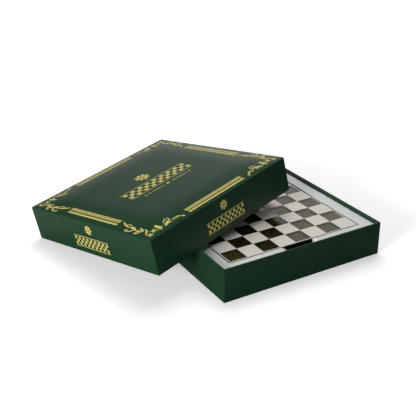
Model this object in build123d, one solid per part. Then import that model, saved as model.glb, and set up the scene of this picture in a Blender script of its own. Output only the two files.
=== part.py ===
from build123d import *
import os
from math import atan2, cos, degrees, radians, sin, sqrt

# Glass chess set in a square card box, with the box's lid off and leaning on it.
# The origin is the centre of the box's underside, +Z is up, and -Y is the side with the finger notch.
# X runs along the notched side. The lid leans from the -X, +Y side. Every length is in millimetres.

# Card, paper and clearances
card = 1.8                 # thickness of the rigid greyboard
paper = 0.2                # thickness of the wrapping and lining papers
edge_round = 0.8           # outer rounding of a wrapped edge
turn_in = 18.0             # how far the wrap is folded down inside the rim
lining_play = 0.5          # gap between a lining sheet and the tray's wall
lid_play = 2.3             # gap each side between the closed lid and the tray
seat_gap = 0.3             # gap between a loose piece and what it rests on

# Glass board
square = 30.5              # side of one square of the board
squares = 8                # squares along each side
border = 3.0               # light border outside the squares
border_margin = 0.8        # clear glass outside the light border
print_gap = 0.1            # dark line between two squares of the print
print_thick = 0.1          # thickness of the light print
glass = 5.0                # thickness of the glass plate
backing = 0.3              # thickness of the dark backing under the glass
glass_round = 0.6          # rounding of the plate's ground edges
corner_round = 2.0         # rounding of the plate's corners, seen from above
bumper_radius = 4.0
bumper_height = 1.2
bumper_inset = 7.0         # from the plate's edge to a bumper's centre

# Foam insert
foam_play = 0.3            # gap between the foam and the turned-in wrap
foam_round = 0.5           # rounding of the foam frame's upper edges
frame_strip = 20.9         # width of the foam frame round the board's recess
frame_proud = 0.6          # how far the frame stands above the board
recess_play = 1.6          # gap on each side of a board that lies in the middle
board_x, board_y = -0.4, -0.5    # where the board's middle lies in the recess
foam_floor = 13.0          # thickness of the foam under the chessmen
foam_pocket = 28.3         # thickness of the foam that the pockets are cut through
rim_above_foam = 7.3       # height of the tray's rim above the foam frame
notch_width = 58.0
notch_depth = 20.0         # how far the notch goes down into the pocket layer
notch_under = 8.0          # how far the notch reaches under the board's edge

# Pockets
pocket_play = 1.0          # gap round a chessman in its pocket
pocket_wall = 3.0          # foam between two pockets side by side
row_wall = 8.0             # foam between two rows of pockets

# Chessmen: height and foot radius of each kind
king_height, king_foot = 52.0, 11.5
queen_height, queen_foot = 47.0, 11.0
bishop_height, bishop_foot = 42.0, 10.0
knight_height, knight_foot = 38.0, 10.0
rook_height, rook_foot = 34.0, 10.0
pawn_height, pawn_foot = 30.0, 9.0
foot_height = 2.0          # upright side of a chessman's foot
neck_share = 0.36          # neck radius over foot radius, the same in every kind
groove = 0.6               # height of the groove over a collar
crown_hollow = 0.9         # depth of the hollow inside the queen's crown
crown_edge = 0.7           # height of the slanting edge of the king's crown
mitre_cut = 0.9            # width of the cut in the bishop's mitre

# Lid
lid_height = 59.7          # outside height of the lid
lean_out = 161.9           # from the tray's -X side to the lid's corner on the table
lean_back = 43.3           # from the tray's +Y side to the lid's corner on the table
lid_yaw = 16.2             # turn of the lid against the tray, in degrees

# Padded crown of the lid's top
crown_rise = 4.2           # height of the crown over the lid's edges
crown_run = 60.0           # from the lid's edge to where the crown is level
pad_inset = 3.0            # from the lid's edge to the padding

# Gold foil bars along the sides of the lid's top
foil = 0.05                # thickness of the foil
bar_length = 127.0
outer_bar_insets = 11.4, 7.3    # from the edges across X and across Y to the outer bars
outer_bar_width = 4.0
bar_gap = 2.8              # plain paper between the two bars
inner_bar_width = 6.9

# Sizes that follow from the ones above
wall = paper + card + paper
board_width = squares * square + 2 * border
recess_width = board_width + 2 * recess_play
tray_width = recess_width + 2 * (frame_strip + foam_play + wall)
frame_thick = bumper_height + backing + glass + print_thick + frame_proud
foam_width = tray_width - 2 * (wall + foam_play)
lid_width = tray_width + 2 * (lid_play + wall)

floor_top = paper + card + paper
pocket_floor = floor_top + foam_floor
pocket_top = pocket_floor + foam_pocket
frame_top = pocket_top + frame_thick
tray_height = frame_top + rim_above_foam
backing_bottom = pocket_top + bumper_height
glass_bottom = backing_bottom + backing
glass_top = glass_bottom + glass
notch_back = board_y - board_width / 2 + notch_under

pocket_width = 2 * (king_foot + pocket_play)
pocket_pitch = pocket_width + pocket_wall
men_row_length = king_height + 2 * pocket_play
pawn_row_length = pawn_height + 2 * pocket_play
pawn_row_y = (row_wall + pawn_row_length) / 2
men_row_y = row_wall * 1.5 + pawn_row_length + men_row_length / 2

STANDING = (Align.CENTER, Align.CENTER, Align.MIN)


def slab(width, depth, thick, z):
    """A box centred on the Z axis whose underside is at height z."""
    return Pos(0, 0, z) * Box(width, depth, thick, align=STANDING)


def inner_rim_edges(solid, half, z):
    """The four edges of a tray's rim on its inner side, at height z and at half from the middle."""
    def on_rim(edge):
        box = edge.bounding_box()
        level = abs(box.min.Z - z) < 1e-4 and abs(box.max.Z - z) < 1e-4
        reach = max(abs(box.min.X), abs(box.max.X), abs(box.min.Y), abs(box.max.Y))
        return level and reach < half + 1e-4
    return solid.edges().filter_by(on_rim)


def tray_card(width, height):
    """A greyboard tray in one piece, open at the top, that leaves room for the paper round it."""
    outer = slab(width - 2 * paper, width - 2 * paper, height - 2 * paper, paper)
    outer = fillet(outer.edges(), edge_round - paper)
    inner_width = width - 2 * (paper + card)
    tray = outer - slab(inner_width, inner_width, height, paper + card)
    return fillet(inner_rim_edges(tray, inner_width / 2, height - paper), edge_round - paper)


def card_panels(width, height):
    """The tray's floor and its four walls, which meet face to face at mitred corners."""
    tray = tray_card(width, height)
    floor = slab(width, width, card, paper)
    quarter = extrude(Polygon((0, 0), (width, -width), (width, width), align=None), height)
    walls = [(tray - floor) & (Rot(0, 0, 90 * side) * quarter) for side in range(4)]
    return Compound([(tray & floor).solid(), *[panel.solid() for panel in walls]])


def wrapped(outer, width, height):
    """The paper round a block's outside, over the rim and down inside it by the turn-in."""
    inner_width = width - 2 * (paper + card)
    mouth_width = inner_width - 2 * paper
    shell = outer - slab(mouth_width, mouth_width, height, paper + card)
    shell = fillet(inner_rim_edges(shell, mouth_width / 2, height), edge_round)
    below_turn_in = height - turn_in - paper - card
    return shell - tray_card(width, height) - slab(inner_width, inner_width, below_turn_in, paper + card)


def tray_wrap():
    """The paper round the tray's walls. The sheet under its floor is a piece of its own."""
    outer = fillet(slab(tray_width, tray_width, tray_height, 0).edges(), edge_round)
    return wrapped(outer, tray_width, tray_height) - slab(tray_width, tray_width, paper, 0)


def crowned_block():
    """The closed lid's outside, upside down: a block whose underside swells below its edges at z = 0.

    It is what two bars have in common, one along X and one along Y. A bar's section is upright at the
    sides, and below them an arc that becomes level at the crown's run.
    """
    half = lid_width / 2
    radius = (crown_run**2 + crown_rise**2) / (2 * crown_rise)
    half_angle = atan2(crown_run, radius - crown_rise) / 2
    middle = half - crown_run + radius * sin(half_angle), radius * (1 - cos(half_angle)) - crown_rise
    section = Wire([
        Line((-half, 0, lid_height), (-half, 0, 0)),
        ThreePointArc((-half, 0, 0), (-middle[0], 0, middle[1]), (-half + crown_run, 0, -crown_rise)),
        Line((-half + crown_run, 0, -crown_rise), (half - crown_run, 0, -crown_rise)),
        ThreePointArc((half - crown_run, 0, -crown_rise), (middle[0], 0, middle[1]), (half, 0, 0)),
        Line((half, 0, 0), (half, 0, lid_height)),
        Line((half, 0, lid_height), (-half, 0, lid_height)),
    ])

    def on_side(edge):
        return max(abs(edge.center().X), abs(edge.center().Y)) > half - 1e-4

    bar = extrude(make_face(section), half, both=True)
    block = bar & (Rot(0, 0, 90) * bar)
    return fillet(block.edges().filter_by(on_side), edge_round)


def lid_padding():
    """The soft sheet between the lid's card and its wrap, which gives the lid its crown."""
    width = lid_width - 2 * pad_inset
    return slab(width, width, crown_rise + paper, -crown_rise) & (Pos(0, 0, paper) * crowned_block())


def lid_wrap():
    """The paper round the lid's walls and over its padded top."""
    return wrapped(crowned_block(), lid_width, lid_height) - lid_padding()


def lining(width):
    """The sheet of paper that covers the floor inside a tray."""
    side = width - 2 * (paper + card + lining_play)
    return slab(side, side, paper, paper + card)


def lean():
    """Where the lid lies: its rim corner at the -X, -Y end, and its directions along X, Y and up.

    One rim corner stands on the table. The inner edge of one rim side rests on the tray's -X side, and
    that of the next on its +Y side. The slopes of the two rim sides are found by going round: from the
    slopes come the distances along the rim to the two contacts, and from those the slopes again.
    """
    yaw = radians(lid_yaw)
    half = tray_width / 2
    corner_x, corner_y = -half - lean_out, half + lean_back
    reach = lid_width - wall
    rise_x = rise_y = 0.0
    for _ in range(60):
        level_x = sqrt(1 - rise_x**2)
        along_x = (cos(yaw) * level_x, sin(yaw) * level_x, rise_x)
        skew = rise_x * rise_y / level_x
        level_y = sqrt(1 - rise_y**2 - skew**2)
        along_y = (-sin(yaw) * level_y + cos(yaw) * skew, cos(yaw) * level_y + sin(yaw) * skew, -rise_y)
        side_run = (-half - corner_x + reach * along_y[0]) / along_x[0]
        back_run = (corner_y + reach * along_x[1] - half) / along_y[1]
        spread = side_run * back_run - reach**2
        rise_x = tray_height * (back_run - reach) / spread
        rise_y = tray_height * (side_run - reach) / spread
    start = Vector(corner_x, corner_y, seat_gap) - Vector(*along_y) * lid_width
    along_x, along_y = Vector(*along_x), Vector(*along_y)
    return start, along_x, along_y, along_x.cross(along_y)


def place_lid(tray):
    """Turn a tray that was built open side up into the leaning lid."""
    start, along_x, along_y, up = lean()
    top = start + (along_x + along_y) * (lid_width / 2) + up * lid_height
    return Plane(origin=top, x_dir=along_x, z_dir=-up).location * tray


def foil_bars():
    """The two foil bars along each side of the lid's crowned top."""
    block = crowned_block()
    skin = (Pos(0, 0, -foil) * block) - block
    bars = []
    for side in range(4):
        outer_inset = outer_bar_insets[side % 2]
        inner_inset = outer_inset + outer_bar_width + bar_gap
        for inset, width in ((outer_inset, outer_bar_width), (inner_inset, inner_bar_width)):
            column = slab(width, bar_length, 2 * crown_rise, -2 * crown_rise)
            column = Pos(lid_width / 2 - inset - width / 2, 0, 0) * column
            bars.append((skin & (Rot(0, 0, 90 * side) * column)).solid())
    return Compound(bars)


def rounded_plate(width, thick, radius, z):
    """A square plate with rounded corners whose underside is at height z."""
    return Pos(0, 0, z) * extrude(RectangleRounded(width, width, radius), thick)


def glass_plate():
    """The glass board, with ground edges."""
    plate = rounded_plate(board_width, glass, corner_round, glass_bottom)
    level_edges = plate.edges().filter_by(lambda e: abs(e.bounding_box().size.Z) < 1e-4)
    return Pos(board_x, board_y, 0) * chamfer(level_edges, glass_round)


def board_backing():
    """The dark film on the underside of the glass."""
    width = board_width - 2 * glass_round
    return Pos(board_x, board_y, 0) * rounded_plate(width, backing, corner_round, backing_bottom)


def light_print():
    """The light squares and their border, printed on the glass. The near left square is dark."""
    field = squares * square
    outer = field + 2 * (border - border_margin - glass_round)
    ring = slab(outer, outer, print_thick, glass_top) - slab(field, field, print_thick, glass_top)
    side = square - print_gap
    start = -(squares - 1) * square / 2
    patches = [
        Pos(start + column * square, start + row * square, 0) * slab(side, side, print_thick, glass_top)
        for row in range(squares)
        for column in range(squares)
        if (row + column) % 2 == 1
    ]
    return Pos(board_x, board_y, 0) * Compound([ring.solid(), *[patch.solid() for patch in patches]])


def bumpers():
    """The four soft feet under the corners of the board."""
    reach = board_width / 2 - bumper_inset
    feet = []
    for side_x in (-1, 1):
        for side_y in (-1, 1):
            foot = Cylinder(bumper_radius, bumper_height, align=STANDING)
            foot = chamfer(foot.edges().group_by(Axis.Z)[0], bumper_height / 3)
            place = Pos(board_x + side_x * reach, board_y + side_y * reach, pocket_top)
            feet.append((place * foot).solid())
    return Compound(feet)


def between(low, high):
    """A box from its lowest corner to its highest."""
    size = Vector(*high) - Vector(*low)
    return Pos(*low) * Box(size.X, size.Y, size.Z, align=Align.MIN)


def foam_frame():
    """The white foam ring that holds the board, open at the front for a finger."""
    ring = slab(foam_width, foam_width, frame_thick, pocket_top)
    ring = ring - rounded_plate(recess_width, frame_thick, corner_round + recess_play, pocket_top)
    beside = notch_width / 2
    notch = between((-beside, -foam_width, pocket_top), (beside, notch_back, tray_height))
    return fillet((ring - notch).edges().group_by(Axis.Z)[-1], foam_round)


def pocket_layer():
    """The foam layer with one pocket for each chessman, cut right through, and the notch's lower part.

    The layer is made of straight blocks that meet face to face: three round the notch, a bar along X on
    each side of each row of pockets, and a wall on each side of each pocket.
    """
    half, low, top = foam_width / 2, pocket_floor, pocket_top
    beside, under = notch_width / 2, pocket_top - notch_depth
    blocks = [
        between((-half, -half, low), (-beside, notch_back, top)),
        between((beside, -half, low), (half, notch_back, top)),
        between((-beside, -half, low), (beside, notch_back, under)),
    ]
    rows = [
        (y - length / 2, y + length / 2)
        for y, length in (
            (-men_row_y, men_row_length),
            (-pawn_row_y, pawn_row_length),
            (pawn_row_y, pawn_row_length),
            (men_row_y, men_row_length),
        )
    ]
    middles = [(column - (squares - 1) / 2) * pocket_pitch for column in range(squares)]
    pockets = [(middle - pocket_width / 2, middle + pocket_width / 2) for middle in middles]
    for front, back in spaces(notch_back, rows, half):
        blocks.append(between((-half, front, low), (half, back, top)))
    for front, back in rows:
        for left, right in spaces(-half, pockets, half):
            blocks.append(between((left, front, low), (right, back, top)))
    return Compound([block.solid() for block in blocks])


def spaces(start, gaps, end):
    """The stretches before, between and after a row of gaps."""
    return list(zip([start, *[high for _, high in gaps]], [*[low for low, _ in gaps], end]))


def turned(start_radius, steps):
    """A solid turned about Z from (start_radius, 0).

    Each step is the radius and height of the next point, or of a point half way and the next point
    where the profile is an arc. The last point lies on the axis.
    """
    here = (start_radius, 0.0)
    lines = [Line((0, 0, 0), (start_radius, 0, 0))]
    for step in steps:
        ends = [(step[i], 0, step[i + 1]) for i in range(0, len(step), 2)]
        begin = (here[0], 0, here[1])
        lines.append(Line(begin, *ends) if len(ends) == 1 else ThreePointArc(begin, *ends))
        here = (step[-2], step[-1])
    lines.append(Line((here[0], 0, here[1]), (0, 0, 0)))
    return revolve(make_face(Wire(lines)), Axis.Z)


def stem(foot, height, collar):
    """The steps of a foot, a hollow-sided stem and a collar whose top is at the given height."""
    neck = foot * neck_share
    shoulder = foot * 0.8
    step_top = foot_height + foot * 0.22
    swell = foot * 0.12
    collar_low = height - foot * 0.2
    middle = (foot_height + height) / 2
    return [
        (foot, foot_height),
        (foot - swell * 0.3, step_top - swell * 0.6, shoulder, step_top),
        (shoulder - swell, step_top + swell * 0.6),
        (neck + swell, middle - foot * 0.1, neck, collar_low - foot * 0.1),
        (neck + swell, collar_low),
        (collar, (collar_low + height) / 2, neck + swell, height),
    ]


def dome(radius, low, top):
    """The step from (radius, low) to the axis at the given top, along a ball centred on the axis."""
    rise = top - low
    ball = (radius**2 + rise**2) / (2 * rise)
    half_angle = atan2(radius, ball - rise) / 2
    return ball * sin(half_angle), top - ball * (1 - cos(half_angle)), 0, top


def pawn():
    """A foot, a stem and a ball."""
    ball = pawn_foot * 0.54
    collar_z = pawn_height - 1.75 * ball
    middle = pawn_height - ball
    steps = stem(pawn_foot, collar_z - groove / 2, pawn_foot * 0.66)
    steps += [(ball * sqrt(1 - 0.75**2), collar_z), (ball, middle, 0, pawn_height)]
    return turned(pawn_foot, steps)


def rook():
    """A foot, a stem and a tower with four battlements."""
    tower = rook_foot * 0.66
    collar_z = rook_height * 0.62
    waist = rook_foot * 0.5
    cup = rook_height - rook_foot * 0.32
    steps = stem(rook_foot, collar_z, rook_foot * 0.68)
    steps += [
        (waist, collar_z + groove),
        (waist, collar_z + rook_height * 0.1, tower, cup - rook_foot * 0.12),
        (tower, rook_height),
        (tower * 0.62, rook_height),
        (tower * 0.62, cup),
        (0, cup),
    ]
    gap = tower * 0.42
    slots = [Rot(0, 0, turn) * slab(3 * tower, gap, rook_height, cup) for turn in (45, 135)]
    return turned(rook_foot, steps) - slots


def bishop():
    """A foot, a stem, a pointed mitre with a slanting cut, and a bead."""
    bead = bishop_foot * 0.17
    mitre_low = bishop_height * 0.62
    mitre_top = bishop_height - 1.8 * bead
    swell = bishop_foot * 0.5
    narrow = bishop_foot * 0.3
    tip = bead * 0.6
    steps = stem(bishop_foot, mitre_low - groove, bishop_foot * 0.66)
    steps += [
        (narrow, mitre_low),
        (swell, mitre_low + (mitre_top - mitre_low) * 0.36, tip, mitre_top),
        (bead, bishop_height - bead, 0, bishop_height),
    ]
    cut_z = mitre_low + (mitre_top - mitre_low) * 0.62
    cut = Pos(swell * 0.75, 0, cut_z) * Rot(0, -38, 0) * Box(swell * 1.5, 3 * swell, mitre_cut)
    return turned(bishop_foot, steps) - cut


def queen():
    """A foot, a stem, a flared crown with scallops, and a bead."""
    bead = queen_foot * 0.2
    collar_z = queen_height * 0.66
    crown_top = queen_height - 2.6 * bead
    crown = queen_foot * 0.64
    waist = queen_foot * 0.38
    steps = stem(queen_foot, collar_z, queen_foot * 0.66)
    steps += [
        (waist, collar_z + groove),
        (waist * 1.08, (collar_z + crown_top) / 2, crown, crown_top),
        (crown * 0.72, crown_top - crown_hollow),
        (bead * 0.6, queen_height - 1.8 * bead),
        (bead, queen_height - bead, 0, queen_height),
    ]
    body = turned(queen_foot, steps)
    scallops = 8
    scallop = crown * 0.26
    ring = [
        Rot(0, 0, 360 * (k + 0.5) / scallops) * Pos(crown, 0, crown_top + scallop * 0.3)
        * Rot(0, 90, 0) * Cylinder(scallop, crown * 0.5)
        for k in range(scallops)
    ]
    return body - ring


def king():
    """A foot, a stem, a flared crown with a low dome, and a cross."""
    cross_height = king_foot * 0.62
    arm = king_foot * 0.17
    collar_z = king_height * 0.62
    dome_top = king_height - cross_height
    crown_top = dome_top - king_foot * 0.22
    crown = king_foot * 0.62
    waist = king_foot * 0.38
    steps = stem(king_foot, collar_z, king_foot * 0.66)
    steps += [
        (waist, collar_z + groove),
        (waist * 1.05, (collar_z + crown_top) / 2, crown, crown_top),
        (crown * 0.93, crown_top + crown_edge),
        dome(crown * 0.93, crown_top + crown_edge, dome_top),
    ]
    upright = slab(arm, arm, cross_height + 1, dome_top - 1)
    bar = slab(3 * arm, arm, arm, dome_top + cross_height * 0.45)
    return turned(king_foot, steps) + upright + bar


def knight():
    """A foot and a collar that carry a horse's head, cut from the side and from the front."""
    plinth_z = knight_height * 0.26
    plinth = knight_foot * 0.66
    rim_z = foot_height + knight_foot * 0.22
    steps = [
        (knight_foot, foot_height),
        (knight_foot * 0.96, rim_z - knight_foot * 0.06, knight_foot * 0.8, rim_z),
        (knight_foot * 0.7, rim_z + knight_foot * 0.08),
        (knight_foot * 0.62, plinth_z - knight_foot * 0.24, plinth, plinth_z - knight_foot * 0.12),
        (plinth, plinth_z),
        (0, plinth_z),
    ]
    head_height = knight_height - plinth_z
    reach = knight_foot * 0.62

    def at(x, z):
        """A point of the side view: x over the plinth's reach, z over the head's height."""
        return x * reach, 0, plinth_z + z * head_height

    lines = [
        ThreePointArc(at(-0.95, 0), at(-1.12, 0.42), at(-0.62, 0.8)),
        Line(at(-0.62, 0.8), at(-0.2, 1.0)),
        Line(at(-0.2, 1.0), at(0.12, 0.84)),
        ThreePointArc(at(0.12, 0.84), at(0.78, 0.7), at(1.32, 0.5)),
        ThreePointArc(at(1.32, 0.5), at(1.42, 0.4), at(1.08, 0.36)),
        ThreePointArc(at(1.08, 0.36), at(0.6, 0.44), at(0.22, 0.4)),
        ThreePointArc(at(0.22, 0.4), at(0.48, 0.2), at(0.98, 0)),
        Line(at(0.98, 0), at(-0.95, 0)),
    ]
    side_view = extrude(make_face(Wire(lines)), 2 * reach, both=True)
    foot_half, top_half = knight_foot * 0.5, knight_foot * 0.2
    front_lines = [
        Line((0, -foot_half, plinth_z), (0, foot_half, plinth_z)),
        ThreePointArc(
            (0, foot_half, plinth_z),
            (0, foot_half * 0.82, plinth_z + head_height * 0.55),
            (0, top_half, knight_height),
        ),
        Line((0, top_half, knight_height), (0, -top_half, knight_height)),
        ThreePointArc(
            (0, -top_half, knight_height),
            (0, -foot_half * 0.82, plinth_z + head_height * 0.55),
            (0, -foot_half, plinth_z),
        ),
    ]
    front_view = extrude(make_face(Wire(front_lines)), 3 * reach, both=True)
    return turned(knight_foot, steps) + (side_view & front_view)


def laid_down(man, foot, head, head_z, column, row_y):
    """Lay a standing chessman in its pocket, foot outwards, on its foot's rim and on its head.

    Its axis falls from the foot to the head by the difference of their radii over their distance.
    """
    droop = degrees(atan2(foot - head, head_z - foot_height))
    lying = Rot(90 + droop, 0, 0) * man
    if row_y < 0:
        lying = Rot(0, 0, 180) * lying
    box = lying.bounding_box()
    return Pos(
        (column - (squares - 1) / 2) * pocket_pitch - (box.min.X + box.max.X) / 2,
        row_y - (box.min.Y + box.max.Y) / 2,
        pocket_floor + seat_gap - box.min.Z,
    ) * lying


def chessmen():
    """Every chessman in its pocket, by name."""
    kinds = {
        "king": (king(), king_foot, king_foot * 0.62, king_height * 0.81),
        "queen": (queen(), queen_foot, queen_foot * 0.64, queen_height - queen_foot * 0.52),
        "bishop": (bishop(), bishop_foot, bishop_foot * 0.5, bishop_height * 0.75),
        "knight": (knight(), knight_foot, knight_foot * 0.4, knight_height * 0.7),
        "rook": (rook(), rook_foot, rook_foot * 0.66, rook_height),
        "pawn": (pawn(), pawn_foot, pawn_foot * 0.54, pawn_height - pawn_foot * 0.54),
    }
    back_row = ["rook", "knight", "bishop", "queen", "king", "bishop", "knight", "rook"]
    men = {}
    for army, side in (("frosted", -1), ("clear", 1)):
        for column, kind in enumerate(back_row):
            number = "" if back_row.count(kind) == 1 else f"_{1 + back_row[:column].count(kind)}"
            men[f"{army}_{kind}{number}"] = laid_down(*kinds[kind], column, side * men_row_y)
        for column in range(squares):
            men[f"{army}_pawn_{column + 1}"] = laid_down(*kinds["pawn"], column, side * pawn_row_y)
    return men


def bottom_sheet():
    """The sheet of paper glued under the tray, which the set stands on."""
    side = tray_width - 2 * edge_round
    return slab(side, side, paper, 0)


def main():
    """Build every piece and write one STEP file for each."""
    pieces = {
        "tray_bottom_sheet": bottom_sheet(),
        "tray_card": card_panels(tray_width, tray_height),
        "tray_wrap": tray_wrap(),
        "tray_lining": lining(tray_width),
        "foam_floor": slab(foam_width, foam_width, foam_floor, floor_top),
        "foam_pockets": pocket_layer(),
        "foam_frame": foam_frame(),
        "board_glass": glass_plate(),
        "board_backing": board_backing(),
        "board_light_print": light_print(),
        "board_bumpers": bumpers(),
        "lid_card": place_lid(card_panels(lid_width, lid_height)),
        "lid_padding": place_lid(lid_padding()),
        "lid_wrap": place_lid(lid_wrap()),
        "lid_lining": place_lid(lining(lid_width)),
        "lid_foil_bars": place_lid(foil_bars()),
        **chessmen(),
    }
    os.makedirs("parts", exist_ok=True)
    for name, piece in pieces.items():
        export_step(piece, f"parts/{name}.step")
        box = piece.bounding_box()
        print(f"{name}: top at {box.max.Z:.2f}, underside at {box.min.Z:.2f}")
    print(f"tray {tray_width:.1f} wide and {tray_height:.1f} high, lid {lid_width:.1f} wide")


main()
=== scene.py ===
from math import cos, pi, radians, sin

import bmesh
import bpy
import numpy as np
from mathutils import Matrix, Vector


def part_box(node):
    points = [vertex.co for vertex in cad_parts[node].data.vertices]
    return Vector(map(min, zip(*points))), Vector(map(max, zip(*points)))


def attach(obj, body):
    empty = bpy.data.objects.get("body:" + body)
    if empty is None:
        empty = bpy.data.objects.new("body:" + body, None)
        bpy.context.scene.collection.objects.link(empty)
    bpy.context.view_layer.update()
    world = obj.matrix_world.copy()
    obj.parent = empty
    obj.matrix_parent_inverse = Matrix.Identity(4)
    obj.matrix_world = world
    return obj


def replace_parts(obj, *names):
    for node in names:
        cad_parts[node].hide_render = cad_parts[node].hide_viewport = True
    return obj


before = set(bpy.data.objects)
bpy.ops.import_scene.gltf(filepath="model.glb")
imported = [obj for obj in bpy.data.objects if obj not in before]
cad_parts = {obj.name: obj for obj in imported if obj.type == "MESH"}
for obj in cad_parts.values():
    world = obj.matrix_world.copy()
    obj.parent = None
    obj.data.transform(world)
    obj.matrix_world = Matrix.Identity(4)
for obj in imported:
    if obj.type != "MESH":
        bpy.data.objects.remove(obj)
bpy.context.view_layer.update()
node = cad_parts
MM = 0.001
# Where rings close in on a face's middle: the innermost ring's share of the outermost one's reach
POLE = 0.02


# Shapes

class Shapes:
    """Closed shells collected into one mesh."""

    def __init__(self):
        self.points, self.faces, self.count = [], [], 0

    def add(self, points, faces):
        self.faces += [[index + self.count for index in face] for face in faces]
        self.points.append(points)
        self.count += len(points)

    def piece(self, name, body, slot, material, smooth=False):
        """Make the mesh object, in place, and let it ride on a body."""
        mesh = bpy.data.meshes.new(name)
        mesh.from_pydata(np.concatenate(self.points).tolist(), [], self.faces)
        mesh.update()
        return finish_piece(mesh, name, body, material, smooth)


def finish_piece(mesh, name, body, material, smooth=False):
    """An object for a mesh that is already in place."""
    shape = bmesh.new()
    shape.from_mesh(mesh)
    bmesh.ops.recalc_face_normals(shape, faces=shape.faces)
    shape.to_mesh(mesh)
    shape.free()
    mesh.polygons.foreach_set("use_smooth", [smooth] * len(mesh.polygons))
    mesh.materials.append(material)
    piece = bpy.data.objects.new(name, mesh)
    bpy.context.scene.collection.objects.link(piece)
    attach(piece, body)
    return piece


def sharpen(piece, degrees_limit):
    """Keep edges crisp where two faces meet at more than a limit."""
    with bpy.context.temp_override(object=piece, active_object=piece, selected_objects=[piece]):
        bpy.ops.object.shade_smooth_by_angle(angle=radians(degrees_limit))


def tube_faces(rings, sides):
    """Faces of a closed tube of quads, whose two ends are each one flat face."""
    quads = [
        [r * sides + s, r * sides + (s + 1) % sides, (r + 1) * sides + (s + 1) % sides, (r + 1) * sides + s]
        for r in range(rings - 1)
        for s in range(sides)
    ]
    last = (rings - 1) * sides
    return quads + [list(range(sides))[::-1], [last + s for s in range(sides)]]


def square_ring(half, rounding, steps=36):
    """A closed square of points with rounded corners: each side walked evenly, each corner by its angle."""
    run = np.linspace(-1, 1, steps) * (half - rounding)
    turn = np.linspace(0, pi / 2, 7)[1:-1]
    side = np.stack([np.full(steps, half), run], 1)
    corner = half - rounding + rounding * np.stack([np.cos(turn), np.sin(turn)], 1)
    quarter = np.concatenate([side, corner])
    turned = [quarter]
    for _ in range(3):
        quarter = np.stack([-quarter[:, 1], quarter[:, 0]], 1)
        turned.append(quarter)
    return np.concatenate(turned)


# Shader nodes

class Value:
    """A node's output that can be used in sums: each operator adds a Math node."""

    def __init__(self, nodes, socket):
        self.nodes, self.socket = nodes, socket

    def math(self, operation, first, second=0.0):
        return self.nodes.add("ShaderNodeMath", {"operation": operation}, {0: first, 1: second})

    def __add__(self, other): return self.math("ADD", self, other)
    def __radd__(self, other): return self.math("ADD", other, self)
    def __sub__(self, other): return self.math("SUBTRACT", self, other)
    def __rsub__(self, other): return self.math("SUBTRACT", other, self)
    def __mul__(self, other): return self.math("MULTIPLY", self, other)
    def __rmul__(self, other): return self.math("MULTIPLY", other, self)
    def __abs__(self): return self.math("ABSOLUTE", self)

    def larger(self, other):
        return self.math("MAXIMUM", self, other)

    def above(self, level, soft):
        """0 below the level and 1 past level + soft."""
        settings = {"interpolation_type": "SMOOTHSTEP"}
        inputs = {"Value": self, "From Min": level, "From Max": level + soft}
        return self.nodes.add("ShaderNodeMapRange", settings, inputs)


class Nodes:
    """A node tree and the one method that adds nodes to it."""

    def __init__(self, tree):
        self.tree = tree

    def add(self, kind, settings, inputs, output=0):
        """Add a node: its settings first, then the value or link of each socket."""
        made = self.tree.nodes.new(kind)
        for key, value in settings.items():
            setattr(made, key, value)
        self.feed(made, inputs)
        return Value(self, made.outputs[output]) if made.outputs else None

    def feed(self, made, inputs):
        """Set or link a node's inputs."""
        for key, value in inputs.items():
            if isinstance(value, Value):
                self.tree.links.new(value.socket, made.inputs[key])
            else:
                made.inputs[key].default_value = value

    def ray(self, kind):
        """1 for rays of a kind, such as camera rays, and 0 for the others."""
        return self.add("ShaderNodeLightPath", {}, {}, f"Is {kind} Ray")

    def mix(self, share, first, second):
        """Blend two colours by a share."""
        first, second = [(*part, 1) if isinstance(part, tuple) else part for part in (first, second)]
        return self.add("ShaderNodeMix", {"data_type": "RGBA"}, {"Factor": share, 6: first, 7: second}, 2)


class Finish(Nodes):
    """A material with one Principled shader, and the nodes that feed it."""

    def __init__(self, name):
        self.material = bpy.data.materials.new(name)
        self.material.use_nodes = True
        super().__init__(self.material.node_tree)
        self.shader = self.tree.nodes["Principled BSDF"]

    def set(self, **inputs):
        """Set or link the shader's own sockets, named with underscores for spaces."""
        self.feed(self.shader, {key.replace("_", " "): value for key, value in inputs.items()})
        return self

    def place(self):
        """The object's own coordinates, in metres."""
        return self.add("ShaderNodeTexCoord", {}, {}, "Object")

    def turned(self, matrix):
        """Object coordinates read in another frame, by the matrix that takes that frame into place."""
        back = matrix.inverted()
        settings = {"vector_type": "POINT"}
        inputs = {"Vector": self.place(), "Location": back.translation, "Rotation": back.to_euler()}
        return self.add("ShaderNodeMapping", settings, inputs)

    def noise(self, where, size, detail=2.0, rough=0.5):
        """Cloudy noise whose lumps are about as wide as size, in metres."""
        inputs = {"Vector": where, "Scale": 1 / size, "Detail": detail, "Roughness": rough}
        return self.add("ShaderNodeTexNoise", {}, inputs)

    def cells(self, where, size):
        """Distance from the middle of cells about as wide as size."""
        return self.add("ShaderNodeTexVoronoi", {}, {"Vector": where, "Scale": 1 / size})

    def split(self, where):
        """The three parts of a vector."""
        parts = self.tree.nodes.new("ShaderNodeSeparateXYZ")
        self.feed(parts, {"Vector": where})
        return [Value(self, socket) for socket in parts.outputs]

    def bump(self, height, depth, strength=1.0):
        """Surface relief of a depth in metres."""
        inputs = {"Height": height, "Distance": depth, "Strength": strength}
        return self.set(Normal=self.add("ShaderNodeBump", {}, inputs))


# Where the lid leans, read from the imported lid

PAPER = 0.2 * MM
LID_WALL = 2.2 * MM
CROWN_RUN = 60 * MM


def corners_and_triangles(name):
    """A node's corners and its triangles as arrays."""
    mesh = node[name].data
    mesh.calc_loop_triangles()
    corners = np.array([v.co[:] for v in mesh.vertices])
    return corners, np.array([t.vertices[:] for t in mesh.loop_triangles])


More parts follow.
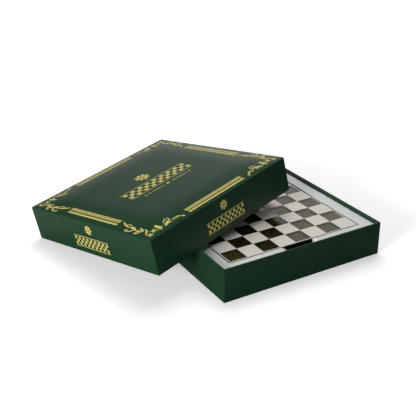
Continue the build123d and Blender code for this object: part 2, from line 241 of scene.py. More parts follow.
def lid_frame():
    """The closed lid's outside without its crown: its corner, its three directions and its size.

    Each direction is the mean normal of the card's triangles, weighted by area, that face near a
    guess, and the card lies a paper's thickness inside.
    """
    corners, triangles = corners_and_triangles("lid_card")
    first, second, third = (corners[triangles[:, k]] for k in range(3))
    doubled = np.cross(second - first, third - first)
    area = np.linalg.norm(doubled, axis=1)
    facing = doubled / np.maximum(area, 1e-12)[:, None]

    def direction(guess, least):
        chosen = (facing @ np.array(guess) > least) & (area > area.max() * 0.05)
        mean = doubled[chosen].sum(0)
        return mean / np.linalg.norm(mean)

    top_guess, right_guess = (-0.16, 0.12, 0.98), (0.95, 0.28, 0.12)
    up, along = direction(top_guess, 0.97), direction(right_guess, 0.95)
    across = np.cross(up, along)
    reach = corners @ np.stack([along, across, up], 1)
    low, high = reach.min(0) - PAPER, reach.max(0) + PAPER
    return low[0] * along + low[1] * across + (low[2] + PAPER) * up, along, across, up, high - low


lid_corner, lid_along, lid_across, lid_up, lid_size = lid_frame()
lid_axes = np.stack([lid_along, lid_across, lid_up])


def in_lid(name):
    """A node's corners in the lid's own directions, from the lid's corner."""
    return (corners_and_triangles(name)[0] - lid_corner) @ lid_axes.T


lid_width = lid_size[0]
wrap_low, wrap_high = in_lid("lid_wrap").min(0), in_lid("lid_wrap").max(0)
lid_corner = lid_corner + wrap_low[2] * lid_up
pad_low = in_lid("lid_padding")[:, 2].min()
lid_height = pad_low + PAPER
crown_rise = wrap_high[2] - wrap_low[2] - lid_height
lid_matrix = Matrix([(*lid_axes[:, k], lid_corner[k]) for k in range(3)] + [(0, 0, 0, 1)])
tray_low, tray_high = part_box("tray_wrap")
tray_matrix = Matrix.Translation(Vector((tray_low.x, tray_low.y, 0)))


def crown(along, across):
    """Height of the padded top over the lid's edges: the rise times a parabola from each pair of edges,
    1 - (1 - d / run) squared for the distance d from the nearer edge, level past the run."""
    height = crown_rise
    for place in (along, across):
        inset = np.clip(np.minimum(place, lid_width - place), 0, CROWN_RUN)
        height = height * (1 - (1 - inset / CROWN_RUN) ** 2)
    return height


# Materials

def green_paper(name, matrix, width, height):
    """Dark green wrapping paper: fine fibres, faint clouds, and edges painted a little lighter, partly as
    wear and partly as a painted highlight.
    """
    finish = Finish(name)
    own = finish.turned(matrix)
    clouds = finish.noise(own, 38 * MM, 3)
    fibres = finish.noise(own, 0.9 * MM, 4, 0.65)
    specks = finish.noise(own, 3.2 * MM, 2).above(0.66, 0.08)
    sides = []
    for part, size in zip(finish.split(own), (width, width, height)):
        sides.append(abs(part - size / 2).above(size / 2 - 1.3 * MM, 0.9 * MM))
    edge = sides[0] * sides[1] + sides[1] * sides[2] + sides[2] * sides[0]
    # Lighter edges, broken up by noise: partly wear and partly a painted highlight along the rounded edges.
    edge_wear_and_highlight = edge * finish.noise(own, 7 * MM, 3).above(0.38, 0.3)
    tone = clouds * 0.6 + fibres * 0.4
    colour = finish.mix(tone, (0.0055, 0.0300, 0.0115), (0.0080, 0.0400, 0.0160))
    colour = finish.mix(specks * 0.12, colour, (0.014, 0.055, 0.025))
    colour = finish.mix(edge_wear_and_highlight * 0.35, colour, (0.030, 0.080, 0.045))
    finish.set(Base_Color=colour, Roughness=0.25 + fibres * 0.10, Specular_IOR_Level=0.30)
    finish.bump(fibres * 0.7 + clouds * 0.3, 0.06 * MM, 0.5)
    return finish.material


def gold_foil(name, matrix):
    """Hot-stamped gold foil, a little dull, with the paper's fibres showing through it."""
    finish = Finish(name)
    own = finish.turned(matrix)
    fibres = finish.noise(own, 0.7 * MM, 4, 0.6)
    wear = finish.noise(own, 2.4 * MM, 3).above(0.58, 0.18)
    colour = finish.mix(fibres, (0.64, 0.55, 0.14), (0.78, 0.68, 0.24))
    colour = finish.mix(wear * 0.35, colour, (0.30, 0.27, 0.09))
    finish.set(Base_Color=colour, Metallic=0.35, Roughness=0.42 + fibres * 0.16)
    finish.bump(fibres, 0.04 * MM, 0.5)
    return finish.material


def foam(name, dark, light, painted_pit_shade):
    """Closed-cell foam: soft clouds between a dark and a light tone, and small cells with painted shade in
    their pits.
    """
    finish = Finish(name)
    own = finish.place()
    cells = finish.cells(own, 0.9 * MM)
    clouds = finish.noise(own, 9 * MM, 3)
    colour = finish.mix(clouds, dark, light)
    # Painted shade: the cells' pits are darkened towards the last colour given.
    colour = finish.mix(cells.above(0.62, 0.2) * 0.35, colour, painted_pit_shade)
    finish.set(Base_Color=colour, Roughness=0.82, Specular_IOR_Level=0.3)
    finish.bump(cells * 0.5 + clouds * 0.5, 0.12 * MM, 0.45)
    return finish.material


def clear_glass(name, tint, rough, smudge, index=1.5):
    """Glass whose polish has faint smudges."""
    finish = Finish(name)
    smears = finish.noise(finish.place(), 22 * MM, 3)
    finish.set(Base_Color=(*tint, 1), Roughness=rough + smears * smudge)
    finish.set(IOR=index, Transmission_Weight=1.0)
    return finish.material


def frosted_glass():
    """Glass with an etched skin."""
    finish = Finish("frosted_glass")
    grain = finish.noise(finish.place(), 0.35 * MM, 3)
    finish.set(Base_Color=(0.90, 0.92, 0.92, 1), Roughness=0.38 + grain * 0.2)
    finish.set(IOR=1.5, Transmission_Weight=0.85)
    return finish.bump(grain, 0.04 * MM, 0.6).material


def light_print():
    """The board's light squares: a warm white satin print with a fine mottle."""
    finish = Finish("light_print")
    own = finish.place()
    mottle = finish.noise(own, 4.5 * MM, 4, 0.65)
    grain = finish.noise(own, 0.5 * MM, 2)
    colour = finish.mix(mottle, (0.59, 0.56, 0.50), (0.75, 0.72, 0.65))
    finish.set(Base_Color=colour, Roughness=0.34 + grain * 0.14, Specular_IOR_Level=0.4)
    return finish.bump(grain, 0.02 * MM, 0.5).material


def dark_backing():
    """The board's dark film."""
    finish = Finish("dark_backing")
    clouds = finish.noise(finish.place(), 14 * MM, 2)
    colour = finish.mix(clouds, (0.016, 0.0105, 0.0004), (0.026, 0.0175, 0.0008))
    return finish.set(Base_Color=colour, Roughness=0.45 + clouds * 0.1, Specular_IOR_Level=0.08).material


def greyboard():
    """Rigid card, with long grey and brown fibres."""
    finish = Finish("greyboard")
    fibres = finish.noise(finish.place(), 1.1 * MM, 5, 0.7)
    colour = finish.mix(fibres, (0.26, 0.235, 0.20), (0.44, 0.41, 0.36))
    finish.set(Base_Color=colour, Roughness=0.9 - fibres * 0.1)
    return finish.bump(fibres, 0.08 * MM).material


def lining_paper():
    """Plain dark lining paper."""
    finish = Finish("lining_paper")
    own = finish.place()
    fibres = finish.noise(own, 0.8 * MM, 4, 0.6)
    clouds = finish.noise(own, 30 * MM, 2)
    colour = finish.mix(fibres * 0.5 + clouds * 0.5, (0.014, 0.015, 0.014), (0.023, 0.024, 0.022))
    finish.set(Base_Color=colour, Roughness=0.75 + fibres * 0.1, Specular_IOR_Level=0.3)
    return finish.bump(fibres, 0.04 * MM, 0.5).material


def bumper_gel():
    """Clear soft plastic."""
    finish = Finish("bumper_gel")
    haze = finish.noise(finish.place(), 3 * MM, 2)
    finish.set(Base_Color=(0.86, 0.88, 0.88, 1), Roughness=0.22 + haze * 0.1)
    return finish.set(IOR=1.45, Transmission_Weight=0.7).material


foil = gold_foil("gold_foil", lid_matrix)
# The last colour of each foam is the painted shade of its cell pits.
white_foam = foam("white_foam", (0.59, 0.62, 0.60), (0.73, 0.76, 0.74), (0.50, 0.52, 0.51))
black_foam = foam("black_foam", (0.011, 0.011, 0.012), (0.019, 0.019, 0.020), (0.007, 0.007, 0.008))
tray_paper = green_paper("tray_green_paper", tray_matrix, tray_high.x - tray_low.x, tray_high.z)
lid_paper = green_paper("lid_green_paper", lid_matrix, lid_width, lid_height)
card_stock = greyboard()
lining = lining_paper()

finishes = {
    "tray_bottom_sheet": tray_paper, "tray_wrap": tray_paper,
    "tray_card": card_stock, "lid_card": card_stock,
    "tray_lining": lining, "lid_lining": lining,
    "board_glass": clear_glass("board_glass", (0.78, 0.74, 0.52), 0.0, 0.03, 1.36),
    "board_light_print": light_print(), "board_bumpers": bumper_gel(),
}
film_material = dark_backing()
men_clear = clear_glass("clear_glass", (0.94, 0.98, 0.97), 0.01, 0.03)
men_frosted = frosted_glass()
for name in node:
    if name.startswith("clear_"):
        finishes[name] = men_clear
    elif name.startswith("frosted_"):
        finishes[name] = men_frosted
for name, material in finishes.items():
    node[name].data.materials.clear()
    node[name].data.materials.append(material)


# Foam

def pad(piece, source):
    """Hide the node whose place a foam piece takes."""
    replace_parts(piece, source)


def foam_ring():
    """The foam frame round the board, from one side of the finger notch round to the other.

    Its rings run from the recess's outline to the foam's outline, both walked at the same share of
    each side, and its section is a rectangle with rounded upper edges. The upper face waves by the sum
    of three sines, a tenth of a millimetre high.
    """
    low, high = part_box("foam_frame")
    corners = corners_and_triangles("foam_frame")[0]
    level_below = corners[corners[:, 2] < low.z + 1 * MM]
    beside = level_below[(abs(level_below[:, 0]) < 40 * MM) & (level_below[:, 1] < 0)]
    notch_half, inner, outer = beside[:, 0].max(), -beside[:, 1].max(), high.x
    inner_round, outer_round = 3.6 * MM, 0.8 * MM
    few, many = 24, 48

    def outline(half, radius):
        start = np.linspace(notch_half, half - radius, few)
        points = [np.stack([start, np.full(few, -half)], 1)]
        for corner, (sx, sy) in enumerate(((1, -1), (1, 1), (-1, 1), (-1, -1))):
            turn = np.linspace(-pi / 2, 0, 9)[1:] + corner * pi / 2
            hub = np.array([sx, sy]) * (half - radius)
            points.append(hub + radius * np.stack([np.cos(turn), np.sin(turn)], 1))
            if corner < 3:
                run = np.linspace(-1, 1, many)[1:-1] * (half - radius)
                side = np.array([(half, 0), (0, half), (-half, 0)][corner])
                way = np.array([(0, 1), (-1, 0), (0, -1)][corner])
                points.append(side + run[:, None] * way)
        end = np.linspace(-(half - radius), -notch_half, few)[1:]
        points.append(np.stack([end, np.full(few - 1, -half)], 1))
        return np.concatenate(points)

    near, far = outline(inner, inner_round), outline(outer, outer_round)
    width = outer - inner
    rounding = 0.6 * MM
    turn = np.linspace(0, pi / 2, 5)
    across = np.concatenate([
        [0, 0], rounding * (1 - np.cos(turn)), np.linspace(rounding, width - rounding, 8)[1:-1],
        width - rounding * (1 - np.sin(turn)), [width, width],
    ]) / width
    rise = np.concatenate([
        [low.z, (low.z + high.z) / 2], high.z - rounding * (1 - np.sin(turn)), np.full(6, high.z),
        high.z - rounding * (1 - np.cos(turn)), [(low.z + high.z) / 2, low.z],
    ])
    plan = near[:, None] * (1 - across[None, :, None]) + far[:, None] * across[None, :, None]
    wave = sum(
        np.sin(plan[..., 0] * kx + plan[..., 1] * ky + shift)
        for kx, ky, shift in ((95, 40, 0.3), (-60, 130, 1.9), (210, -170, 4.1))
    ) * 0.035 * MM
    lifted = rise + wave * (rise > low.z + 1 * MM)
    points = np.concatenate([plan, lifted[..., None]], 2)
    ring = Shapes()
    ring.add(points.reshape(-1, 3), tube_faces(*points.shape[:2]))
    piece = ring.piece("foam_ring", "tray", "white_foam", white_foam, smooth=True)
    sharpen(piece, 50)
    pad(piece, "foam_frame")


def pocket_foam():
    """The foam block with the chessmen's pockets and the finger notch cut into it.

    Its cells are the boxes between the levels of x, y and z at which the node has corners. A cell is
    filled where more of the node's level faces below it look down than up, a wall stands
    wherever a filled cell meets an empty one, and the edges are pressed round by half a millimetre.
    A cell is tested beside its middle, where no triangle's edge passes.
    """
    corners, triangles = corners_and_triangles("foam_pockets")
    corners = np.round(corners, 6)
    levels = [np.unique(corners[:, k]) for k in range(3)]
    first, second, third = (corners[triangles[:, k]] for k in range(3))
    facing = np.sign(np.cross(second - first, third - first)[:, 2])
    flat = np.ptp(np.stack([first, second, third])[..., 2], axis=0) < 1e-6
    first, second, third, facing = (part[flat] for part in (first, second, third, facing))
    x, y = (levels[k][:-1] + np.diff(levels[k]) * share for k, share in ((0, 0.43), (1, 0.58)))
    spot = np.stack(np.meshgrid(x, y, indexing="ij"), -1)[:, :, None]

    def side(start, end):
        way, reach = end[:, :2] - start[:, :2], spot - start[:, :2]
        return (way[:, 0] * reach[..., 1] - way[:, 1] * reach[..., 0]) * facing > 0

    within = side(first, second) & side(second, third) & side(third, first)
    z = (levels[2][1:] + levels[2][:-1]) / 2
    below = first[:, 2] < z[:, None]
    filled = np.einsum("xyt,zt,t->xyz", within.astype(float), below.astype(float), -facing) > 0.5
    room = np.pad(filled, 1)
    count = np.array([len(part) for part in levels])
    index = np.arange(count.prod()).reshape(count)
    faces = []
    for axis in range(3):
        here, there = np.moveaxis(room, axis, 0)[:-1], np.moveaxis(room, axis, 0)[1:]
        wall = (here != there)[:, 1:-1, 1:-1]
        grid = np.moveaxis(index, axis, 0)
        quads = np.stack([grid[:, :-1, :-1], grid[:, 1:, :-1], grid[:, 1:, 1:], grid[:, :-1, 1:]], -1)
        faces.append(quads[wall])
    used, faces = np.unique(np.concatenate(faces), return_inverse=True)
    points = np.stack(np.meshgrid(*levels, indexing="ij"), -1).reshape(-1, 3)[used]
    mesh = bpy.data.meshes.new("pocket_foam")
    mesh.from_pydata(points.tolist(), [], faces.reshape(-1, 4).tolist())
    shape = bmesh.new()
    shape.from_mesh(mesh)
    bmesh.ops.recalc_face_normals(shape, faces=shape.faces)
    bmesh.ops.dissolve_limit(shape, angle_limit=radians(1), verts=shape.verts, edges=shape.edges)
    shape.to_mesh(mesh)
    shape.free()
    piece = finish_piece(mesh, "pocket_foam", "tray", black_foam)
    bevel = piece.modifiers.new("pressed_edges", "BEVEL")
    bevel.width = 0.5 * MM
    bevel.segments = 2
    bevel.limit_method = "ANGLE"
    pad(piece, "foam_pockets")


def floor_foam():
    """The foam sheet under the chessmen: square rings from its middle, over the rounded upper edge and
    back under it. The upper face waves by two sines, a tenth of a millimetre high."""
    low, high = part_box("foam_floor")
    half, rounding = high.x, 0.5 * MM
    above, below = 20, 8
    turn = np.linspace(0, pi / 2, 4)
    halves = np.concatenate([
        np.linspace(POLE, 1, above) * (half - 1.5 * MM), half - rounding * (1 - np.sin(turn)), [half],
        np.linspace(1, POLE, below) * half,
    ])
    edge = high.z - rounding * (1 - np.cos(turn))
    heights = np.concatenate([np.full(above, high.z), edge, np.full(below + 1, low.z)])
    sheet = Shapes()
    rings = np.stack([square_ring(reach, min(1 * MM, reach / 2)) for reach in halves])
    wave = (np.sin(rings[..., 0] * 80) + np.sin(rings[..., 1] * 65)) * 0.05 * MM
    lifted = heights[:, None] + (wave - 0.1 * MM) * (heights > low.z + 1 * MM)[:, None]
    points = np.concatenate([rings, lifted[..., None]], 2)
    sheet.add(points.reshape(-1, 3), tube_faces(*points.shape[:2]))
    pad(sheet.piece("floor_foam", "tray", "black_foam", black_foam), "foam_floor")


def board_film():
    """The dark film under the glass: square rings over its top and back under it, with a hair of air
    left below the glass, so that light reaches it."""
    low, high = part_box("board_backing")
    middle, half, air = (low + high) / 2, (high.x - low.x) / 2, 0.03 * MM
    reaches = np.linspace(POLE, 1, 12) * half
    film = Shapes()
    rings = np.stack([square_ring(reach, min(2 * MM, reach / 2)) for reach in [*reaches, *reaches[::-1]]])
    rings = rings + np.array([middle.x, middle.y])
    heights = np.repeat([high.z - air, low.z], len(reaches))[:, None] + 0 * rings[..., 0]
    points = np.concatenate([rings, heights[..., None]], 2)
    film.add(points.reshape(-1, 3), tube_faces(*points.shape[:2]))
    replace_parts(film.piece("board_film", "board", "dark_backing", film_material), "board_backing")


foam_ring()
pocket_foam()
floor_foam()
board_film()


# The lid's paper and the wadding under its top

def lid_shell(profile):
    """Square rings round the lid's middle, one for each (distance from the middle, height, share of the
    crown, corner rounding), put into the lid's place."""
    distance, height, share, rounding = np.array(profile).T
    half = lid_width / 2
    rings = np.stack([square_ring(reach, min(soft, reach / 2)) for reach, soft in zip(distance, rounding)])
    swell = crown(rings[..., 0] + half, rings[..., 1] + half) * share[:, None]
    flat = np.concatenate([rings + half, (height[:, None] + swell)[..., None]], 2)
    shell = Shapes()
    shell.add((flat @ lid_axes + lid_corner).reshape(-1, 3), tube_faces(*flat.shape[:2]))
    return shell


def lid_cover():
    """The green paper round the lid as one folded sheet. Its rings go from the middle of the top over
    the rounded edge, down the side, round the rim, up to the end of the turned-in flap, and back
    between paper and card to the middle again. The top is the crown, and the edges are quarter circles."""
    half, edge, rim, flap = lid_width / 2, 0.8 * MM, 0.7 * MM, 18 * MM
    inside = half - LID_WALL
    quarter = np.linspace(0, pi / 2, 6)
    top = lid_height
    profile = [(reach, top, 1, edge) for reach in np.linspace(0.012, 1, 40) * (half - edge - 0.4 * MM)]
    profile += [(half - edge + edge * sin(t), top - edge + edge * cos(t), 1, edge) for t in quarter]
    profile += [(half, level, 0, edge) for level in np.linspace(top - 1.3 * MM, 1.3 * MM, 9)]
    profile += [(half - rim + rim * cos(t), rim - rim * sin(t), 0, edge) for t in quarter]
    profile += [(inside + rim - rim * sin(t), rim - rim * cos(t), 0, edge) for t in quarter]
    profile += [(inside, level, 0, edge) for level in np.linspace(1.3 * MM, flap, 4)]
    behind, outside, under = inside + PAPER, half - PAPER, top - PAPER
    profile += [(behind, flap, 0, edge), (behind, rim, 0, edge), (behind + 0.5 * MM, PAPER, 0, edge)]
    profile += [(outside - 0.5 * MM, PAPER, 0, edge), (outside, rim, 0, edge)]
    profile += [(outside, under - edge, 0, edge), (outside - edge, under, 1, edge)]
    profile += [(reach, under, 1, edge) for reach in np.linspace(1, 0.012, 40) * (half - 1.5 * MM)]
    piece = lid_shell(profile).piece("lid_cover", "lid", "green_wrap", lid_paper, smooth=True)
    sharpen(piece, 50)
    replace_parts(piece, "lid_wrap")


def lid_wadding():
    """The thin wadding between the lid's card and its paper: level below and the crown above."""
    half, gap = lid_width / 2, 0.03 * MM
    bottom, top = lid_height - PAPER + gap, lid_height - PAPER - gap
    reaches = np.linspace(POLE, 1, 30) * (half - 3.2 * MM)
    profile = [(reach, top, 1, 1 * MM) for reach in reaches]
    profile += [(reach, bottom, 0, 1 * MM) for reach in reaches[::-1]]
    piece = lid_shell(profile).piece("lid_wadding", "lid", "white_foam", white_foam, smooth=True)
    sharpen(piece, 50)
    pad(piece, "lid_padding")


lid_cover()
lid_wadding()


# Gold foil on the lid

def no_crown(along, across):
    """The height of a flat face."""
    return 0 * along


class Sheet:
    """A face of the box to lay foil on: a corner, two directions along it, its outward normal and its
    crown."""

    lift = 0.015 * MM
    thick = 0.035 * MM

    def __init__(self, corner, along, across, out, swell=no_crown):
        self.corner, self.along, self.across, self.out, self.swell = corner, along, across, out, swell
        self.shapes = Shapes()

    def at(self, flat, height):
        """Points in space for rows of (along, across) in millimetres, at a height over the face."""
        along, across = (np.asarray(flat, float) * MM).T[:, :, None]
        over = self.lift + height + self.swell(along, across)
        return self.corner + along * self.along + across * self.across + over * self.out

    def patch(self, outline):
        """A filled shape: its outline at the face and at the foil's thickness, closed by walls."""
        count = len(outline)
        points = np.concatenate([self.at(outline, 0), self.at(outline, self.thick)])
        walls = [[k, (k + 1) % count, count + (k + 1) % count, count + k] for k in range(count)]
        self.shapes.add(points, walls + [list(range(count))[::-1], [count + k for k in range(count)]])

    def ring(self, outer, inner):
        """A band between two outlines with as many points: a tube of four-cornered rings, bent into
        a loop."""
        count = len(outer)
        levels = ((outer, 0), (outer, self.thick), (inner, self.thick), (inner, 0))
        points = np.stack([self.at(side, height) for side, height in levels], 1).reshape(-1, 3)
        faces = [
            [k * 4 + s, k * 4 + (s + 1) % 4, (k + 1) % count * 4 + (s + 1) % 4, (k + 1) % count * 4 + s]
            for k in range(count)
            for s in range(4)
        ]
        self.shapes.add(points, faces)

    def leaf(self, foot, tip, width, bend=0.0, lobes=0):
        """A leaf from foot to tip: half its width is sin(pi t) raised to 0.7, and its spine bows
        sideways by bend times its length times sin(pi t). Between two lobes the edge draws in, by the
        factor 1 - 0.5 (1 - |sin(lobes pi t)|)."""
        t = np.linspace(0, 1, max(13, 6 * lobes + 1))[:, None]
        foot, tip = np.array(foot, float), np.array(tip, float)
        way = tip - foot
        aside = np.array([-way[1], way[0]])
        spine = foot + way * t + aside * bend * np.sin(pi * t)
        swell = aside / np.linalg.norm(aside) * width / 2 * np.sin(pi * t) ** 0.7
        if lobes:
            swell = swell * (1 - 0.5 * (1 - abs(np.sin(lobes * pi * t))))
        self.patch(np.concatenate([spine + swell, (spine - swell)[-2:0:-1]]))

    def lobed_leaf(self, foot, tip, width, bend):
        """A full leaf whose lobes are about 3 mm long."""
        length = np.hypot(tip[0] - foot[0], tip[1] - foot[1])
        self.leaf(foot, tip, width * LEAF_FULLNESS, bend, round(length / LOBE))

    def eye(self, centre, long_half, short_half, tilt, band):
        """An oval ring whose inner edge is smaller by the band's width."""
        outer = oval(centre, long_half, short_half, tilt)
        self.ring(outer, oval(centre, long_half - band, short_half - band, tilt))


def oval(centre, long_half, short_half, tilt=0.0, count=20):
    """An ellipse of points: (long cos t, short sin t), turned by tilt."""
    turn = np.linspace(0, 2 * pi, count, endpoint=False)
    x, y = long_half * np.cos(turn), short_half * np.sin(turn)
    return np.array(centre) + np.stack([x * cos(tilt) - y * sin(tilt), x * sin(tilt) + y * cos(tilt)], 1)


def block(low, high):
    """The four corners of an upright rectangle."""
    return np.array([low, (high[0], low[1]), high, (low[0], high[1])])


def lozenge(centre, width, height):
    """The four corners of a rectangle that stands on its corner."""
    reach = np.array([(width / 2, 0), (0, height / 2), (-width / 2, 0), (0, -height / 2)])
    return np.array(centre) + reach


# A corner ornament: its star's middle, how much wider than drawn its leaves are, and a lobe's length
STAR = (12.2, 12.2)
LEAF_FULLNESS = 1.12
LOBE = 3.2
# Leaves of an arm along the front or back edge: foot, tip, width and bend, in millimetres from the corner
LONG_ARM = (
    ((18.5, 21.0), (27.5, 11.0), 3.4, 0.0), ((18.5, 11.5), (27.0, 21.5), 3.4, 0.0),
    ((33.0, 15.5), (36.5, 27.0), 4.2, 0.10), ((36.5, 15.5), (31.5, 26.0), 2.6, -0.1),
    ((34.0, 18.0), (33.0, 7.5), 4.4, 0.0), ((29.0, 11.5), (39.0, 19.0), 3.0, 0.0),
    ((28.5, 19.5), (40.0, 12.5), 3.0, 0.0), ((41.0, 9.5), (55.0, 21.0), 5.0, -0.08),
    ((42.5, 16.5), (57.0, 9.5), 3.2, 0.1), ((46.0, 19.0), (61.0, 26.0), 2.8, 0.15),
    ((51.0, 13.5), (60.5, 26.5), 2.8, -0.15), ((72.0, 17.5), (77.0, 9.5), 3.0, 0.0),
    ((75.5, 11.0), (80.5, 6.0), 2.8, 0.0), ((78.0, 8.0), (81.5, 11.5), 1.8, 0.0),
)
# Leaves of an arm along the left or right edge
SIDE_ARM = (
    ((18.0, 8.5), (28.0, 20.5), 3.8, 0.0), ((22.0, 15.0), (33.0, 19.5), 3.2, 0.1),
    ((29.5, 12.5), (44.0, 19.5), 3.4, 0.12), ((30.0, 15.0), (47.0, 12.0), 4.4, -0.06),
    ((33.5, 12.0), (43.0, 5.0), 3.0, -0.15), ((45.0, 12.5), (62.0, 15.5), 5.0, 0.06),
    ((48.0, 13.0), (60.0, 4.5), 3.2, -0.1), ((58.0, 4.8), (66.5, 9.0), 2.4, -0.15),
    ((56.0, 19.5), (47.0, 15.0), 2.8, 0.1), ((60.0, 14.0), (86.0, 23.5), 3.6, -0.05),
    ((58.0, 17.5), (74.0, 20.5), 2.4, 0.10),
)


def corner_ornament(name, place, along, across):
    """A corner's star, with an arm along each of the two edges that meet there."""
    face = Sheet(place, along, across, lid_up, crown)
    reach = 5.6
    for turn in np.arange(4) * pi / 2 + pi / 4:
        tip = (STAR[0] + reach * cos(turn), STAR[1] + reach * sin(turn))
        face.leaf(STAR, tip, 2.8)
    face.patch(oval(STAR, 1.7, 1.7))
    for foot, tip, width, bend in LONG_ARM:
        face.lobed_leaf(foot, tip, width, bend)
    face.eye((67.0, 14.6), 6.8, 2.6, -0.05, 1.1)
    for bead in (63.5, 67.0, 70.5):
        face.patch(oval((bead, 14.6), 1.0, 0.9, count=10))
    for foot, tip, width, bend in SIDE_ARM:
        face.lobed_leaf(foot[::-1], tip[::-1], width, -bend)
    face.eye((6.4, 40.5), 2.9, 2.2, 0.6, 1.0)
    face.eye((7.4, 61.5), 3.2, 2.4, 0.6, 1.0)
    return face.shapes.piece(name, "lid", "gold_foil", foil)


def foil_bars():
    """A plain bar and a ribbed bar beside it, half way along each side of the lid's top. Their places
    are the foil node's: its corners give the bars' ends and widths. Two rails run along a ribbed bar,
    and its ribs reach a little under them. Lengths are in millimetres."""
    rail, overlap = 0.7, 0.1
    ribs, rib_share = 50, 0.68
    flat = in_lid("lid_foil_bars")[:, :2] / MM
    width = lid_width / MM
    middle = width / 2
    shapes = Shapes()
    top = lid_corner + lid_up * lid_height
    sides = (
        (0, (top, lid_along, lid_across)), (0, (top + lid_across * lid_width, lid_along, -lid_across)),
        (1, (top, lid_across, lid_along)), (1, (top + lid_along * lid_width, lid_across, -lid_along)),
    )
    for axis, (place, along, across) in sides:
        near = flat[(abs(flat[:, axis] - middle) < 70) & (flat[:, 1 - axis] < 30)]
        run, inset = near[:, axis], np.unique(np.round(near[:, 1 - axis], 1))
        start, end = run.min(), run.max()
        gaps = np.diff(inset)
        split = gaps.argmax()
        outer_low, inner_high = inset[0], inset[-1]
        outer_high, inner_low = inset[split], inset[split + 1]
        face = Sheet(place, along, across, lid_up, crown)
        face.shapes = shapes
        face.patch(block((start, outer_low), (end, outer_high)))
        for low, high in ((inner_low, inner_low + rail), (inner_high - rail, inner_high)):
            face.patch(block((start, low), (end, high)))
        pitch = (end - start) / ribs
        low, high = inner_low + rail - overlap, inner_high - rail + overlap
        for rib in range(ribs):
            left = start + (rib + 0.15) * pitch
            face.patch(block((left, low), (left + pitch * rib_share, high)))
    piece = shapes.piece("foil_bars", "lid", "gold_foil", foil)
    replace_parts(piece, "lid_foil_bars")


def chequer_band(name, face, centre, scale, line):
    """A plain chequered band of three rows of seventeen places between two lines, and a rosette of
    eight petals above it. With line set, a row of bars and beads runs under the band. Sizes are in
    millimetres at a scale of 1."""
    middle, level = centre
    pitch, side = 8.2 * scale, 7.8 * scale
    thin, bar = 0.6, 0.7
    for column in range(-8, 9):
        for row in (-1, 0, 1):
            if (column + row) % 2:
                spot = np.array([middle + column * pitch, level + row * pitch])
                face.patch(block(spot - side / 2, spot + side / 2))
    for end in (-1, 1):
        beside = level + end * 15.4 * scale
        face.patch(block((middle - 71 * scale, beside - thin), (middle + 71 * scale, beside + thin)))
    if line:
        below = level - 27.0 * scale
        face.patch(lozenge((middle, below), 9.0 * scale, 6.0 * scale))
        for end in (-1, 1):
            near, far = middle + 8 * scale * end, middle + 46 * scale * end
            face.patch(block((near, below - bar), (far, below + bar)))
            face.patch(oval((middle + 50.5 * scale * end, below), 2.0 * scale, 1.6 * scale, count=12))
    hub = (middle, level + 40.0 * scale)
    for turn in np.arange(8) * pi / 4:
        way = np.array([cos(turn), sin(turn)])
        face.leaf(hub + way * 3.4 * scale, hub + way * 14.5 * scale, 5.6 * scale)
    face.patch(oval(hub, 2.6 * scale, 2.6 * scale))
    return face.shapes.piece(name, "lid", "gold_foil", foil)


top_corner = lid_corner + lid_up * lid_height
whole_along, whole_across = lid_along * lid_width, lid_across * lid_width
corner_ornament("foil_corner_near", top_corner, lid_along, lid_across)
corner_ornament("foil_corner_right", top_corner + whole_along, -lid_along, lid_across)
corner_ornament("foil_corner_far", top_corner + whole_along + whole_across, -lid_along, -lid_across)
corner_ornament("foil_corner_left", top_corner + whole_across, lid_along, -lid_across)
foil_bars()
middle = lid_width / MM / 2
top_face = Sheet(top_corner, lid_along, lid_across, lid_up, crown)
chequer_band("foil_device_top", top_face, (middle, 150.0), 1.0, True)
front_face = Sheet(lid_corner, lid_along, lid_up, -lid_across)
chequer_band("foil_device_front", front_face, (middle, 20.5), 0.60, False)
left_face = Sheet(lid_corner, lid_across, lid_up, -lid_along)
chequer_band("foil_device_left", left_face, (middle, 20.5), 0.62, False)


# Camera, floor and light

def photo_camera():
    """A camera of about 70 mm on a 36 mm frame, 1.5 m from the box, that looks down by 26 degrees."""
    azimuth, elevation, roll = radians(-30.25), radians(25.71), radians(-0.43)
    target, distance = Vector((-0.0037, 0.1467, 0.0)), 1.5002
    back = Vector((sin(azimuth) * cos(elevation), -cos(azimuth) * cos(elevation), sin(elevation)))
    level = Vector((cos(azimuth), sin(azimuth), 0))
    upright = back.cross(level)
    right = level * cos(roll) + upright * sin(roll)
    up = upright * cos(roll) - level * sin(roll)
    data = bpy.data.cameras.new("photo_camera")
    data.lens, data.sensor_width, data.sensor_fit = 69.58, 36.0, "HORIZONTAL"
    camera = bpy.data.objects.new("photo_camera", data)
    bpy.context.scene.collection.objects.link(camera)
    place = target + back * distance
    camera.matrix_world = Matrix([(right[k], up[k], back[k], place[k]) for k in range(3)] + [(0, 0, 0, 1)])
    bpy.context.scene.camera = camera


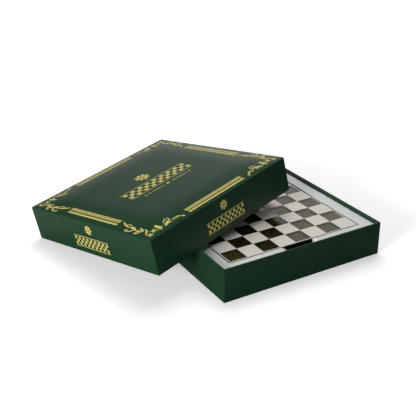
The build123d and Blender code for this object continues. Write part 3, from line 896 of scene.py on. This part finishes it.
def white_floor():
    """A floor that is pale to the camera and through glass, keeps shadows, grows white away from the
    box, and throws only part of its light back at the box. In reflections it is lighter on the left and
    dark on the far right."""
    half = 6.0
    seen_tone, bounced_tone = (0.86,) * 3, (0.55,) * 3
    left_tone, near_tone, right_tone = (0.40,) * 3, (0.14,) * 3, (0.01,) * 3
    mesh = bpy.data.meshes.new("floor")
    corners = [(-half, -half, 0), (half, -half, 0), (half, half, 0), (-half, half, 0)]
    mesh.from_pydata(corners, [], [(0, 1, 2, 3)])
    floor = bpy.data.objects.new("floor", mesh)
    bpy.context.scene.collection.objects.link(floor)
    material = bpy.data.materials.new("floor")
    material.use_nodes = True
    material.node_tree.nodes.clear()
    nodes = Nodes(material.node_tree)
    seen = nodes.ray("Camera").larger(nodes.ray("Transmission"))
    place = nodes.add("ShaderNodeTexCoord", {}, {}, "Object")
    inputs = {0: place, 1: (-0.08, 0.07, 0.0)}
    away = nodes.add("ShaderNodeVectorMath", {"operation": "DISTANCE"}, inputs, "Value")
    inputs = {0: place, 1: (1, 0, 0)}
    rightward = nodes.add("ShaderNodeVectorMath", {"operation": "DOT_PRODUCT"}, inputs, "Value")
    mirrored = nodes.mix(rightward.above(-0.40, 0.15), left_tone, near_tone)
    mirrored = nodes.mix(away.above(0.35, 0.15) * rightward.above(0.0, 0.1), mirrored, right_tone)
    thrown = nodes.mix(nodes.ray("Glossy"), bounced_tone, mirrored)
    diffuse = nodes.add("ShaderNodeBsdfDiffuse", {}, {"Color": nodes.mix(seen, thrown, seen_tone)})
    glow = nodes.add("ShaderNodeEmission", {}, {"Strength": seen * (away.above(0.30, 0.50) * 0.4 + 0.32)})
    both = nodes.add("ShaderNodeAddShader", {}, {0: diffuse, 1: glow})
    nodes.add("ShaderNodeOutputMaterial", {}, {"Surface": both})
    mesh.materials.append(material)


def softbox(name, place, aim, size, power):
    """A square area lamp that faces a point."""
    data = bpy.data.lights.new(name, "AREA")
    data.shape, data.size, data.energy = "SQUARE", size, power
    lamp = bpy.data.objects.new(name, data)
    lamp.location = place
    lamp.rotation_euler = (Vector(aim) - Vector(place)).to_track_quat("-Z", "Y").to_euler()
    lamp.visible_glossy = False
    bpy.context.scene.collection.objects.link(lamp)


def surroundings():
    """A world that is white to the camera and in glass, dim to rough surfaces, and in reflections grows
    from dim in front to white behind the box."""
    world = bpy.data.worlds.new("studio")
    bpy.context.scene.world = world
    world.use_nodes = True
    world.node_tree.nodes.clear()
    nodes = Nodes(world.node_tree)
    direction = nodes.add("ShaderNodeTexCoord", {}, {}, "Generated")
    inputs = {0: direction, 1: (0.707, 0.0, -0.707)}
    behind = nodes.add("ShaderNodeVectorMath", {"operation": "DOT_PRODUCT"}, inputs, "Value")
    glossy = nodes.ray("Glossy") * behind.above(-0.05, 0.16) * 0.90
    seen = nodes.ray("Camera").larger(nodes.ray("Transmission"))
    strength = seen.larger(glossy + 0.14)
    sky = nodes.add("ShaderNodeBackground", {}, {"Strength": strength})
    nodes.add("ShaderNodeOutputWorld", {}, {"Surface": sky})


photo_camera()
white_floor()
surroundings()
softbox("key_box", (0.48, 0.78, 1.90), (0.0, 0.05, 0.0), 1.6, 31)
softbox("left_box", (-1.68, -0.66, 0.52), (-0.1, 0.0, 0.06), 0.6, 35)
bpy.context.scene.view_settings.view_transform = "Standard"
